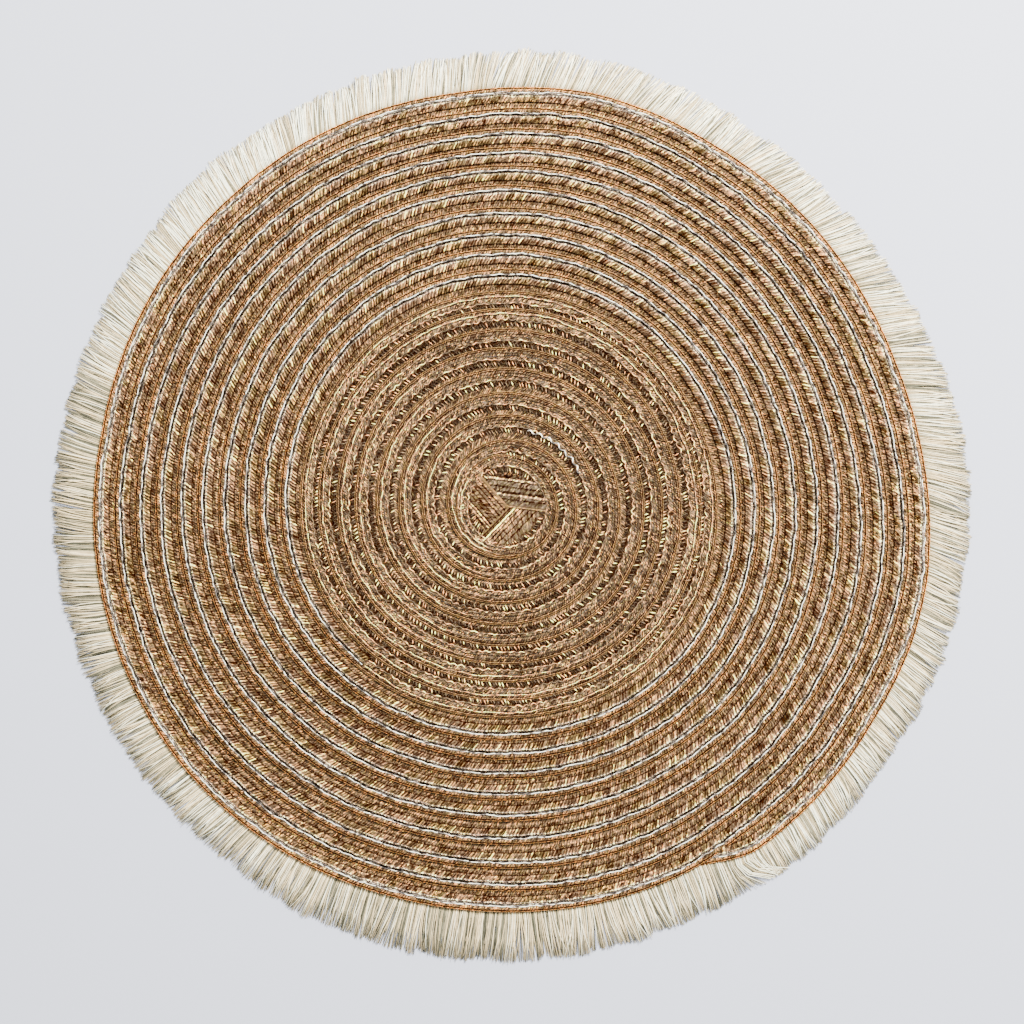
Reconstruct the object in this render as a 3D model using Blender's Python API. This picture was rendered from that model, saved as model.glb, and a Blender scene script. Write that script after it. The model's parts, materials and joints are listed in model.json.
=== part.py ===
"""A round place mat of woven tape coiled flat, with a brush fringe sewn under its rim.

All lengths are in metres, +Z is up, and the mat lies on the plane Z = 0 with its middle at
the origin. Angles are in degrees, anticlockwise from +X seen from above.
"""

import math
import random

import bmesh
import bpy

MM = 0.001

# The coil: one tape wound inwards anticlockwise, each turn lapping over the one outside it.
COIL_CENTRE = (-3.5 * MM, 0.7 * MM)
TAPE_END_RADIUS = 177.6 * MM
TURN_PITCH = 8.57 * MM
TURNS = 18

# The tape's outer end is turned in under the next turn, which leaves a step in the rim.
TAPE_END_ANGLE = 297.0
TAPE_END_SWEEP = 10.0

# The number of straight facets in each turn.
COLUMNS = 72
COLUMN_STEP = 360.0 / COLUMNS

# Across one turn, from its outer selvage inwards: share of the turn's width, height.
TURN_PROFILE = (
    ("selvage", 0.00, 2.5 * MM),
    ("cord crest", 0.50, 3.0 * MM),
    ("groove", 0.93, 1.9 * MM),
)
ROWS_PER_TURN = len(TURN_PROFILE)

# How far each turn lies outside an even spiral, because it was sewn by hand: turn, millimetres.
TURN_SLACK = (
    (0.0, 0.0),
    (5.2, -0.3),
    (7.2, -1.2),
    (9.2, -0.2),
    (10.2, -1.4),
    (11.2, 0.7),
    (12.2, 0.7),
    (13.2, 1.9),
    (14.2, 2.6),
    (15.2, 1.2),
    (16.2, 0.9),
    (17.2, -0.3),
    (18.0, -1.7),
)

# How each turn is off centre and three-lobed: turn, towards +X, towards +Y, lobes, millimetres.
TURN_DRIFT = (
    (1.0, 0.9, 0.1, 1.25),
    (2.0, 0.8, 0.4, 1.25),
    (3.0, 0.7, 1.0, 1.15),
    (5.0, 0.65, 2.0, 1.05),
    (8.0, 0.75, 1.7, 0.8),
    (10.0, 0.8, 1.6, 0.75),
    (14.0, 0.5, 0.9, 0.4),
    (16.0, 0.5, 0.5, 0.3),
    (18.0, 1.5, -0.4, 0.2),
)
LOBE_ANGLE = -30.0

# The rim and the fringe by angle: angle, rim outside the even spiral in millimetres, reach of
# the fringe from the coil's centre in millimetres, clockwise lean of its yarns in degrees.
RIM_AND_FRINGE = (
    (0.0, 2.0, 194.6, 18.0),
    (10.0, 0.2, 194.4, 18.0),
    (20.0, -1.0, 191.9, 18.0),
    (30.0, -1.0, 189.6, 18.0),
    (45.0, -0.5, 188.1, 18.0),
    (60.0, -0.2, 188.3, 18.0),
    (70.0, 1.2, 189.4, 18.0),
    (78.0, 1.9, 190.2, 18.0),
    (88.0, 0.7, 190.0, 17.0),
    (97.0, -0.5, 187.9, 16.0),
    (110.0, -0.4, 187.5, 15.0),
    (120.0, -0.5, 186.4, 15.0),
    (132.0, -1.1, 187.5, 13.0),
    (145.0, -1.1, 186.2, 12.0),
    (157.0, -1.3, 186.2, 10.0),
    (170.0, -1.8, 186.2, 8.0),
    (180.0, -0.8, 187.9, 7.0),
    (190.0, 0.0, 187.7, 6.0),
    (205.0, 1.0, 187.9, 6.0),
    (220.0, 1.8, 188.1, 5.0),
    (231.0, 1.3, 187.9, 5.0),
    (245.0, 0.5, 190.0, 3.0),
    (255.0, -0.2, 190.2, 2.0),
    (265.0, 0.0, 190.1, 0.0),
    (275.0, 0.7, 190.2, 0.0),
    (287.0, 1.9, 190.0, 2.0),
    (297.0, 2.5, 189.8, 5.0),
    (306.0, 1.5, 192.5, 10.0),
    (318.0, 2.3, 192.7, 14.0),
    (330.0, 2.3, 192.7, 16.0),
    (341.0, 3.8, 194.4, 18.0),
    (350.0, 3.8, 194.8, 18.0),
)
RIM_SHAPE_TURNS = (1.5, 5.0)

# The start of the tape is folded into three panels that meet at a point near the middle. Each
# panel is highest along the arm where it begins, and lies under the next one.
FOLD_POINT = (COIL_CENTRE[0] + 2.3 * MM, COIL_CENTRE[1] - 0.8 * MM)
FOLD_ARM_ANGLES = (131.0, 226.0, 353.0)
FOLD_HIGH = 2.75 * MM
FOLD_LOW = 2.05 * MM
FOLD_PANEL_WIDTH = 13.0 * MM
CENTRE_RINGS = (0.95, 0.72, 0.42, 0.14)
CENTRE_GROOVE_HEIGHT = 2.0 * MM

# The fringe: a header sewn under the rim, and the locks of yarn that stand out of it.
HEADER_HEIGHT = 1.0 * MM
HEADER_WIDTH = 7.0 * MM
HEADER_INSET = 1.2 * MM
STITCH_GAP = 0.3 * MM
RIM_UNDERSIDE = HEADER_HEIGHT + STITCH_GAP
FOOT_INSET = HEADER_INSET + HEADER_WIDTH + 0.6 * MM
LOCKS_PER_COLUMN = 4
LOCK_SHARE = 0.76
LOCK_TIP_SHARE = 0.62
LOCK_SWAY = 0.05
LOCK_LENGTH_SPREAD = 0.9 * MM
LOCK_STATIONS = (0.0, 0.55, 1.0)
LOCK_HEIGHTS = (HEADER_HEIGHT, 0.9 * MM, 0.5 * MM)
LOCK_SEED = 7

MAT_COLOUR = (0.36, 0.23, 0.13, 1.0)
FRINGE_COLOUR = (0.80, 0.77, 0.69, 1.0)
MAT_ROUGHNESS = 0.85
FRINGE_ROUGHNESS = 0.80


def clear_scene():
    for item in list(bpy.data.objects):
        bpy.data.objects.remove(item, do_unlink=True)


def mix(low, high, share):
    return low + (high - low) * share


def smooth_share(value):
    value = min(max(value, 0.0), 1.0)
    return value * value * (3.0 - 2.0 * value)


def read_table(table, key, column):
    """Straight-line reading of one column of a table whose first column rises."""
    if key <= table[0][0]:
        return table[0][column]
    for before, after in zip(table, table[1:]):
        if key <= after[0]:
            share = (key - before[0]) / (after[0] - before[0])
            return mix(before[column], after[column], share)
    return table[-1][column]


def read_round_table(angle, column):
    """Reading of the rim and fringe table, which joins up with itself after a full circle."""
    first = RIM_AND_FRINGE[0]
    closed = RIM_AND_FRINGE + ((first[0] + 360.0,) + first[1:],)
    return read_table(closed, angle % 360.0, column)


def coil_point(angle, radius):
    turned = math.radians(angle)
    return (
        COIL_CENTRE[0] + radius * math.cos(turned),
        COIL_CENTRE[1] + radius * math.sin(turned),
    )


def turn_edge_radius(turn):
    """Radius of the tape's outer selvage, a number of turns in from the tape's outer end."""
    angle = TAPE_END_ANGLE + 360.0 * turn
    turn = min(turn, float(TURNS))
    turned = math.radians(angle)
    even = TAPE_END_RADIUS - TURN_PITCH * turn + read_table(TURN_SLACK, turn, 1) * MM
    drift_x = read_table(TURN_DRIFT, turn, 1) * math.cos(turned)
    drift_y = read_table(TURN_DRIFT, turn, 2) * math.sin(turned)
    lobes = read_table(TURN_DRIFT, turn, 3) * math.cos(3.0 * math.radians(angle - LOBE_ANGLE))
    inner_shape = (drift_x + drift_y + lobes) * MM
    rim_shape = read_round_table(angle, 1) * MM
    start, end = RIM_SHAPE_TURNS
    inner_share = smooth_share((turn - start) / (end - start))
    return even + mix(rim_shape, inner_shape, inner_share)


def rim_radius(angle):
    """Radius of the rim: the outermost turn's edge, pulled in where the tape's end tucks under."""
    turn = ((angle - TAPE_END_ANGLE) % 360.0) / 360.0
    tucked = turn_edge_radius(turn + 1.0)
    return mix(tucked, turn_edge_radius(turn), smooth_share(turn * 360.0 / TAPE_END_SWEEP))


def row_radius(row, column):
    """Radius of one row of the coil's top at one column of its turn."""
    turn_number, part = divmod(row, ROWS_PER_TURN)
    turn = turn_number + column / COLUMNS
    outer = turn_edge_radius(turn) if turn >= 1.0 else rim_radius(TAPE_END_ANGLE + 360.0 * turn)
    inner = turn_edge_radius(turn + 1.0)
    return mix(outer, inner, TURN_PROFILE[part][1])


def panel_height(x, y):
    """Height of the folded centre: a slope down from the arm at which each panel begins."""
    away = math.degrees(math.atan2(y - FOLD_POINT[1], x - FOLD_POINT[0]))
    distance = math.hypot(x - FOLD_POINT[0], y - FOLD_POINT[1])
    past_arm = min((away - arm) % 360.0 for arm in FOLD_ARM_ANGLES)
    across = distance * math.sin(math.radians(min(past_arm, 90.0)))
    return mix(FOLD_HIGH, FOLD_LOW, min(across / FOLD_PANEL_WIDTH, 1.0))


def add_face(mesh, corners):
    """A face of the corners given, without those that fall on one another."""
    kept = []
    for corner in corners:
        if corner not in kept:
            kept.append(corner)
    if len(kept) > 2:
        mesh.faces.new(kept)


def add_strip(mesh, loop_a, loop_b):
    """A closed band of faces between two loops that have the same number of points."""
    count = len(loop_a)
    for index in range(count):
        after = (index + 1) % count
        add_face(mesh, (loop_a[index], loop_a[after], loop_b[after], loop_b[index]))


def build_coil_top(mesh):
    """The lapped turns. Returns the loop along the rim and the loop round the folded centre."""
    last_row = TURNS * ROWS_PER_TURN
    grid = {}
    for row in range(last_row + 1):
        for column in range(COLUMNS):
            if row < ROWS_PER_TURN and column == 0:
                continue
            angle = TAPE_END_ANGLE + column * COLUMN_STEP
            x, y = coil_point(angle, row_radius(row, column))
            height = TURN_PROFILE[row % ROWS_PER_TURN][2]
            grid[row, column] = mesh.verts.new((x, y, height))

    def corner(row, column):
        if column == COLUMNS:
            row, column = min(row + ROWS_PER_TURN, last_row), 0
        if column == 0 and row < ROWS_PER_TURN:
            row = ROWS_PER_TURN
        return grid[row, column]

    for row in range(last_row):
        for column in range(COLUMNS):
            near, far = corner(row, column), corner(row, column + 1)
            far_in, near_in = corner(row + 1, column + 1), corner(row + 1, column)
            add_face(mesh, (near, far, far_in, near_in))
    rim_loop = [corner(0, column) for column in range(COLUMNS)]
    centre_loop = [corner(last_row, column) for column in range(COLUMNS)]
    return rim_loop, centre_loop


def build_folded_centre(mesh, outer_loop):
    """The three folded panels, as rings that close in on the fold point."""
    previous = outer_loop
    for ring_number, scale in enumerate(CENTRE_RINGS):
        ring = []
        for vert in outer_loop:
            x = mix(FOLD_POINT[0], vert.co.x, scale)
            y = mix(FOLD_POINT[1], vert.co.y, scale)
            height = CENTRE_GROOVE_HEIGHT if ring_number == 0 else panel_height(x, y)
            ring.append(mesh.verts.new((x, y, height)))
        add_strip(mesh, previous, ring)
        previous = ring
    middle = mesh.verts.new((FOLD_POINT[0], FOLD_POINT[1], FOLD_HIGH))
    for index, vert in enumerate(previous):
        add_face(mesh, (vert, previous[(index + 1) % COLUMNS], middle))


def build_underside(mesh, rim_loop):
    """The rim's edge, the ledge over the fringe's header, and the flat foot."""
    under_rim, ledge, foot = [], [], []
    for column, vert in enumerate(rim_loop):
        angle = TAPE_END_ANGLE + column * COLUMN_STEP
        foot_x, foot_y = coil_point(angle, rim_radius(angle) - FOOT_INSET)
        under_rim.append(mesh.verts.new((vert.co.x, vert.co.y, RIM_UNDERSIDE)))
        ledge.append(mesh.verts.new((foot_x, foot_y, RIM_UNDERSIDE)))
        foot.append(mesh.verts.new((foot_x, foot_y, 0.0)))
    add_strip(mesh, rim_loop, under_rim)
    add_strip(mesh, under_rim, ledge)
    add_strip(mesh, ledge, foot)
    mesh.faces.new(foot)


def finish_object(mesh, name, colour, roughness):
    bmesh.ops.recalc_face_normals(mesh, faces=mesh.faces[:])
    data = bpy.data.meshes.new(name)
    mesh.to_mesh(data)
    mesh.free()
    material = bpy.data.materials.new(name)
    material.use_nodes = True
    shader = material.node_tree.nodes["Principled BSDF"]
    shader.inputs["Base Color"].default_value = colour
    shader.inputs["Roughness"].default_value = roughness
    shader.inputs["Metallic"].default_value = 0.0
    data.materials.append(material)
    item = bpy.data.objects.new(name, data)
    bpy.context.scene.collection.objects.link(item)
    return item


def build_mat():
    mesh = bmesh.new()
    rim_loop, centre_loop = build_coil_top(mesh)
    build_folded_centre(mesh, centre_loop)
    build_underside(mesh, rim_loop)
    item = finish_object(mesh, "mat", MAT_COLOUR, MAT_ROUGHNESS)
    item.data.shade_smooth()
    item.data.set_sharp_from_angle(angle=math.radians(40.0))
    return item


def header_radius(angle):
    """Outer edge of the fringe's header, on straight facets like the rim above it."""
    column, share = divmod((angle - TAPE_END_ANGLE) % 360.0, COLUMN_STEP)
    start = TAPE_END_ANGLE + column * COLUMN_STEP
    before = rim_radius(start)
    after = rim_radius(start + COLUMN_STEP)
    return mix(before, after, share / COLUMN_STEP) - HEADER_INSET


def lock_corner(angle, station, reach_change, sway):
    """A point on a lock's side: station 0 is its root on the header, and 1 is its tip."""
    root = header_radius(angle)
    reach = read_round_table(angle, 2) * MM + reach_change
    lean = math.radians(read_round_table(angle, 3))
    radius = mix(root, reach, station)
    sideways = math.degrees((radius - root) * math.tan(lean) / radius)
    return coil_point(angle - sideways + sway * station, radius)


def build_lock(mesh, root_corners, middle_angle, half_angle, draw):
    """One lock of yarn, drawn out of its root on the header and lying level on the table."""
    reach_change = draw.uniform(-LOCK_LENGTH_SPREAD, LOCK_LENGTH_SPREAD)
    sway = draw.uniform(-LOCK_SWAY, LOCK_SWAY) * 2.0 * half_angle / LOCK_SHARE
    previous = root_corners
    for station, height in zip(LOCK_STATIONS[1:], LOCK_HEIGHTS[1:]):
        narrowing = mix(1.0, LOCK_TIP_SHARE / LOCK_SHARE, station)
        right = lock_corner(middle_angle - half_angle * narrowing, station, reach_change, sway)
        left = lock_corner(middle_angle + half_angle * narrowing, station, reach_change, sway)
        ring = [
            mesh.verts.new((right[0], right[1], 0.0)),
            mesh.verts.new((left[0], left[1], 0.0)),
            mesh.verts.new((left[0], left[1], height)),
            mesh.verts.new((right[0], right[1], height)),
        ]
        add_strip(mesh, previous, ring)
        previous = ring
    add_face(mesh, previous)


def build_fringe():
    """The header ring with a lock drawn out of each of its outer facets."""
    draw = random.Random(LOCK_SEED)
    mesh = bmesh.new()
    lock_step = COLUMN_STEP / LOCKS_PER_COLUMN
    half_angle = 0.5 * LOCK_SHARE * lock_step
    outer_low, outer_high, inner_low, inner_high = [], [], [], []
    lock_angles = []
    for column in range(COLUMNS):
        start = TAPE_END_ANGLE + column * COLUMN_STEP
        x, y = coil_point(start, header_radius(start) - HEADER_WIDTH)
        inner_low.append(mesh.verts.new((x, y, 0.0)))
        inner_high.append(mesh.verts.new((x, y, HEADER_HEIGHT)))
        for number in range(LOCKS_PER_COLUMN):
            middle = start + (number + 0.5) * lock_step
            lock_angles.append(middle)
            for angle in (middle - half_angle, middle + half_angle):
                x, y = coil_point(angle, header_radius(angle))
                outer_low.append(mesh.verts.new((x, y, 0.0)))
                outer_high.append(mesh.verts.new((x, y, HEADER_HEIGHT)))

    per_column = 2 * LOCKS_PER_COLUMN
    for column in range(COLUMNS):
        after = (column + 1) % COLUMNS
        first = column * per_column
        run = [(first + step) % len(outer_low) for step in range(per_column + 1)]
        for outer, inner in ((outer_high, inner_high), (outer_low, inner_low)):
            edge = [outer[index] for index in run]
            mesh.faces.new(edge + [inner[after], inner[column]])
    add_strip(mesh, inner_low, inner_high)

    for number, middle in enumerate(lock_angles):
        right, left = 2 * number, 2 * number + 1
        root = [outer_low[right], outer_low[left], outer_high[left], outer_high[right]]
        build_lock(mesh, root, middle, half_angle, draw)
        after = (left + 1) % len(outer_low)
        add_face(mesh, (outer_low[left], outer_low[after], outer_high[after], outer_high[left]))
    return finish_object(mesh, "fringe", FRINGE_COLOUR, FRINGE_ROUGHNESS)


def main():
    clear_scene()
    build_mat()
    build_fringe()


main()
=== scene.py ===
# %% [markdown]
# # A round placemat of coiled tape with a brush fringe
# The real mat is two lengths of woven tape, joined end to end and wound flat in a spiral. Each
# inner turn laps over the turn outside it and is sewn down, and a cream brush fringe is sewn
# under the rim. The making here goes the same way: a length of tape is modelled straight, where
# its yarns are easy to place, and then it is wound onto the spiral of the fixed frame.

# %% Load the frame and keep its parts
import json
import math

import bpy
import numpy as np
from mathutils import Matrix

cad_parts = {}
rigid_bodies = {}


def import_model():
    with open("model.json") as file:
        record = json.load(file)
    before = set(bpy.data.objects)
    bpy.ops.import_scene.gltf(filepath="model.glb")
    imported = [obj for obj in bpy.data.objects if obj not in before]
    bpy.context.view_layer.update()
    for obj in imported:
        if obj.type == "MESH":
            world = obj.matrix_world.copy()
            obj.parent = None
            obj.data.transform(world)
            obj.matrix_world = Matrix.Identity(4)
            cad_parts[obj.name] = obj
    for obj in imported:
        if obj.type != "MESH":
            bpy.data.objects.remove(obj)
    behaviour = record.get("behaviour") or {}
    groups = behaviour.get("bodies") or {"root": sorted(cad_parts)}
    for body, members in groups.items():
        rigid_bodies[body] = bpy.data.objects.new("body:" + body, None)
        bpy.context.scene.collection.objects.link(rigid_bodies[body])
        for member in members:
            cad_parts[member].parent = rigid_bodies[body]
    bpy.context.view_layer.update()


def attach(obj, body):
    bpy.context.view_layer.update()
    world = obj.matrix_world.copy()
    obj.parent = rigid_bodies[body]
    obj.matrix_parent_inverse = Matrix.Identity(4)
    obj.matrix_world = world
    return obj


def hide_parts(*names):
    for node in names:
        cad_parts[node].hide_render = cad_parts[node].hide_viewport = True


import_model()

# %% [markdown]
# ## The sizes of the coil
# Everything follows one line: the outer selvage of the tape. A turn number counts along it, from
# 0 at the outer end to 18 for the innermost full circle. The sewn turns aren't quite even, which
# three tables describe in millimetres.

# %% Named sizes of the coil
MM = 0.001
COIL_CENTRE = (-3.5 * MM, 0.7 * MM)
TAPE_END_RADIUS = 177.6 * MM
TURN_PITCH = 8.57 * MM
TURNS = 18
TAPE_END_ANGLE = 297.0
TAPE_END_SWEEP = 10.0
LOBE_ANGLE = -30.0
RIM_SHAPE_TURNS = (1.5, 5.0)
FOLD_POINT = (COIL_CENTRE[0] + 2.3 * MM, COIL_CENTRE[1] - 0.8 * MM)

# How far each turn lies outside an even spiral: turn, millimetres.
TURN_SLACK = (
    (0, 0), (5.2, -0.3), (7.2, -1.2), (9.2, -0.2), (10.2, -1.4), (11.2, 0.7), (12.2, 0.7),
    (13.2, 1.9), (14.2, 2.6), (15.2, 1.2), (16.2, 0.9), (17.2, -0.3), (18, -1.7),
)

# The turns inside the rim are a little oval, shorter from the upper right to the lower left.
OVAL_MM = 0.3

# How each turn is off centre and three-lobed: turn, towards +X, towards +Y, lobes.
TURN_DRIFT = (
    (1, 0.9, 0.1, 1.25), (2, 0.8, 0.4, 1.25), (3, 0.7, 1, 1.15), (5, 0.65, 2, 1.05),
    (8, 0.75, 1.7, 0.8), (10, 0.8, 1.6, 0.75), (14, 0.5, 0.9, 0.4), (16, 0.5, 0.5, 0.3),
    (18, 1.5, -0.4, 0.2),
)

# By angle: the rim outside the even spiral, the reach of the fringe from the coil's centre,
# and the clockwise lean of its yarns in degrees.
RIM_AND_FRINGE = (
    (0, 2, 194.6, 18), (10, 0.2, 194.4, 18), (20, -1, 191.9, 18), (30, -1, 189.6, 18),
    (45, -0.5, 188.1, 18), (60, -0.2, 188.3, 18), (70, 1.2, 189.4, 18), (78, 1.9, 190.2, 18),
    (88, 0.7, 190, 17), (97, -0.5, 187.9, 16), (110, -0.4, 187.5, 15), (120, -0.5, 186.4, 15),
    (132, -1.1, 187.5, 13), (145, -1.1, 186.2, 12), (157, -1.3, 186.2, 10), (170, -1.8, 186.2, 8),
    (180, -0.8, 187.9, 7), (190, 0, 187.7, 6), (205, 1, 187.9, 6), (220, 1.8, 188.1, 5),
    (231, 1.3, 187.9, 5), (245, 0.5, 190, 3), (255, -0.2, 190.2, 2), (265, 0, 190.1, 0),
    (275, 0.7, 190.2, 0), (287, 1.9, 190, 2), (297, 2.5, 189.8, 5), (306, 1.5, 192.5, 10),
    (318, 2.3, 192.7, 14), (330, 2.3, 192.7, 16), (341, 3.8, 194.4, 18), (350, 3.8, 194.8, 18),
    (360, 2, 194.6, 18),
)
print("coil of", TURNS, "turns,", round(2000 * TAPE_END_RADIUS), "mm across")


# %% [markdown]
# ## Winding
# The tape is made straight along X, with its outer selvage on the X axis and the rest of its
# width towards -Y. Winding it turns X into a distance along the spiral and Y into a distance
# in from the selvage. A Curve modifier could do this, but with a formula for the spiral each
# point is placed exactly, and the yarns keep their true lengths.

# %% The spiral as a formula
def read_table(table, key, column):
    return np.interp(key, [row[0] for row in table], [row[column] for row in table])


def smooth_share(value):
    value = np.clip(value, 0.0, 1.0)
    return value * value * (3.0 - 2.0 * value)


def turn_edge_radius(turn):
    """Radius of the tape's outer selvage, a number of turns in from its outer end."""
    angle = TAPE_END_ANGLE + 360.0 * turn
    turned = np.radians(angle)
    held = np.minimum(turn, float(TURNS))
    even = TAPE_END_RADIUS - TURN_PITCH * held + read_table(TURN_SLACK, held, 1) * MM
    waves = (np.cos(turned), np.sin(turned), np.cos(3.0 * np.radians(angle - LOBE_ANGLE)))
    inner_shape = sum(read_table(TURN_DRIFT, held, column) * wave
                      for column, wave in enumerate(waves, 1))
    inner_shape = inner_shape - OVAL_MM * np.sin(2.0 * turned)
    rim_shape = read_table(RIM_AND_FRINGE, angle % 360.0, 1)
    start, end = RIM_SHAPE_TURNS
    inner_share = smooth_share((held - start) / (end - start))
    return even + (rim_shape + (inner_shape - rim_shape) * inner_share) * MM


def tape_radius(turn):
    """The selvage's radius, with the outer end pulled in under the next turn."""
    share = smooth_share(turn * 360.0 / TAPE_END_SWEEP)
    tucked = turn_edge_radius(turn + 1.0)
    return np.where(turn < 1.0, tucked + (turn_edge_radius(turn) - tucked) * share,
                    turn_edge_radius(turn))


def rim_radius(angle):
    return tape_radius(((angle - TAPE_END_ANGLE) % 360.0) / 360.0)


FIRST_TURN, LAST_TURN, TURN_SAMPLES = -0.01, 19.2, 20000
turn_line = np.linspace(FIRST_TURN, LAST_TURN, TURN_SAMPLES)
radius_line = tape_radius(turn_line)
step_lengths = 0.5 * (radius_line[1:] + radius_line[:-1]) * np.radians(360.0 * np.diff(turn_line))
length_line = np.concatenate([[0.0], np.cumsum(step_lengths)])


def length_at(turn):
    """Distance along the selvage from the outer end, in metres."""
    return float(np.interp(turn, turn_line, length_line))


def turn_at(length):
    return np.interp(length, length_line, turn_line)


TUCK_HEIGHT_SHARE = 0.42
TUCK_RISE_SPEED = 1.6


def on_coil(radius, angle, height):
    """Points round the coil's centre from their radius, their angle in radians and height."""
    return np.stack([COIL_CENTRE[0] + radius * np.cos(angle),
                     COIL_CENTRE[1] + radius * np.sin(angle), height], axis=-1)


def wind(points):
    """Straight tape coordinates to the coil: x is along the tape, -y in from its selvage."""
    turn = turn_at(points[:, 0])
    angle = np.radians(TAPE_END_ANGLE + 360.0 * turn)
    radius = tape_radius(turn) + points[:, 1]
    risen = smooth_share(turn * 360.0 / TAPE_END_SWEEP * TUCK_RISE_SPEED)
    height = points[:, 2] * (TUCK_HEIGHT_SHARE + (1.0 - TUCK_HEIGHT_SHARE) * risen)
    return on_coil(radius, angle, height)


SPLICE_TURN = 9.81
print("outer tape:", round(length_at(SPLICE_TURN), 2), "m, to the middle:",
      round(length_at(float(TURNS)), 2), "m")


# %% [markdown]
# ## Unevenness
# Nothing sewn by hand runs dead straight. A wobble is a smooth random line: random values at
# even steps, joined by soft curves. Each one has its own seed, so every run gives the same mat.

# %% A smooth random line
KNOTS = 4096


def wobble(along, period, seed):
    """A smooth random line between -1 and 1 that changes over about one period."""
    draw = np.random.default_rng(seed)
    knots = draw.uniform(-1.0, 1.0, KNOTS)
    place = np.asarray(along) / period
    whole = np.floor(place).astype(int)
    share = smooth_share(place - whole)
    before, after = knots[whole % KNOTS], knots[(whole + 1) % KNOTS]
    return before + (after - before) * share


print("wobble of the first metre:", np.round(wobble(np.linspace(0, 1, 5), 0.1, 1), 2))


# %% [markdown]
# ## A straight length of tape
# A grid is rolled into a flat tube: one side runs along the tape, and the other follows a table
# of points round the tape's section. A curve with a bevel would make the same shape, but on a
# grid each corner keeps its straight place as its UV, so that a pattern follows the yarns.

# %% Grid to tape section
def deselect_all():
    for item in bpy.context.selected_objects:
        item.select_set(False)


def set_mode(mode):
    bpy.ops.object.mode_set(mode=mode)
    if mode == "EDIT":
        bpy.ops.mesh.select_all(action="SELECT")


def pick(item):
    """Select one object alone and make it the active one."""
    deselect_all()
    item.select_set(True)
    bpy.context.view_layer.objects.active = item


def get_points(item):
    points = np.empty(len(item.data.vertices) * 3, np.float32)
    item.data.vertices.foreach_get("co", points)
    return points.reshape(-1, 3).astype(float)


def set_points(item, points):
    item.data.vertices.foreach_set("co", np.asarray(points, np.float32).ravel())
    item.data.update()


def set_uv(item, along, across):
    """Write a UV for each corner from one pair of numbers for each vertex."""
    layer = item.data.uv_layers.get("tape") or item.data.uv_layers.new(name="tape")
    vertex = np.empty(len(item.data.loops), np.int32)
    item.data.loops.foreach_get("vertex_index", vertex)
    layer.data.foreach_set("uv", np.stack([along[vertex], across[vertex]], 1).ravel())


def unit_grid(name, x_steps, y_steps):
    """A grid one metre square, without its own UVs."""
    deselect_all()
    bpy.ops.mesh.primitive_grid_add(x_subdivisions=x_steps, y_subdivisions=y_steps, size=1.0)
    item = bpy.context.object
    item.name = item.data.name = name
    for layer in list(item.data.uv_layers):
        item.data.uv_layers.remove(layer)
    return item


def grid_strip(name, steps, section):
    """A grid of steps along and section points across. Returns it with its two grid indices."""
    item = unit_grid(name, steps, len(section) - 1)
    points = get_points(item)
    step = np.rint((points[:, 0] + 0.5) * steps).astype(int)
    row = np.rint((0.5 - points[:, 1]) * (len(section) - 1)).astype(int)
    return item, step, row


def close_tube(item):
    """Join the grid's two long sides, close its ends, and turn its faces outwards."""
    pick(item)
    set_mode("EDIT")
    bpy.ops.mesh.remove_doubles(threshold=0.000002)
    bpy.ops.mesh.select_all(action="SELECT")
    bpy.ops.mesh.fill_holes(sides=0)
    bpy.ops.mesh.select_all(action="SELECT")
    bpy.ops.mesh.normals_make_consistent(inside=False)
    set_mode("OBJECT")


def shade_smooth(item, angle=50.0):
    pick(item)
    bpy.ops.object.shade_smooth_by_angle(angle=math.radians(angle))


def add_object(name, data):
    item = bpy.data.objects.new(name, data)
    bpy.context.scene.collection.objects.link(item)
    return item


def count_triangles(item):
    item.data.calc_loop_triangles()
    return len(item.data.loop_triangles)


def finish_piece(item, material):
    item.data.materials.append(material)
    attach(item, "root")
    print(item.name, "has", count_triangles(item), "triangles")
    return item


# %% [markdown]
# ## Colours
# The renderer's film curve flattens bright colours and lifts dark ones. So yarn colours are
# written as they should look in the picture, 0 to 255 a channel, and one formula turns them
# into the share of light that the cloth gives back. It was fitted to a render of plain patches.

# %% Screen colour to cloth colour
CURVE_SCALE = 0.0509
CURVE_POWER = 1.757
CURVE_SHOULDER = 1.055


def cloth_colour(red, green, blue):
    channels = []
    for value in (red, green, blue):
        share = min(max(value, 3), 252) / 255.0
        channels.append(CURVE_SCALE * share ** CURVE_POWER / (1.0 - share) ** CURVE_SHOULDER)
    return (*(min(channel, 0.92) for channel in channels), 1.0)


print("mid brown as a cloth colour:", np.round(cloth_colour(156, 127, 98), 3))

# %% [markdown]
# All yarns of the braid are dyed in one family of browns, where the brightness alone decides how
# far red lies above green and green above blue. So a pattern is written as brightness, from 0
# to 255, and one ramp turns brightness into colour.

# %% The braid's family of browns
# Brightness, red above green, green above blue.
BROWN_FAMILY = (
    (10, 42, 18), (30, 58, 34), (60, 47, 35), (100, 28, 27), (140, 18, 24), (180, 20, 34),
    (205, 25, 44), (225, 31, 44), (245, 29, 35),
)


def brown(brightness, plain=0.0):
    """The cloth colour of a braid yarn of the screen brightness given, plain ones nearly grey."""
    red_above = (1.0 - plain) * read_table(BROWN_FAMILY, brightness, 1)
    blue_below = (1.0 - plain) * read_table(BROWN_FAMILY, brightness, 2)
    green = brightness - 0.3 * red_above + 0.11 * blue_below
    return cloth_colour(green + red_above, green, green - blue_below)
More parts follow.
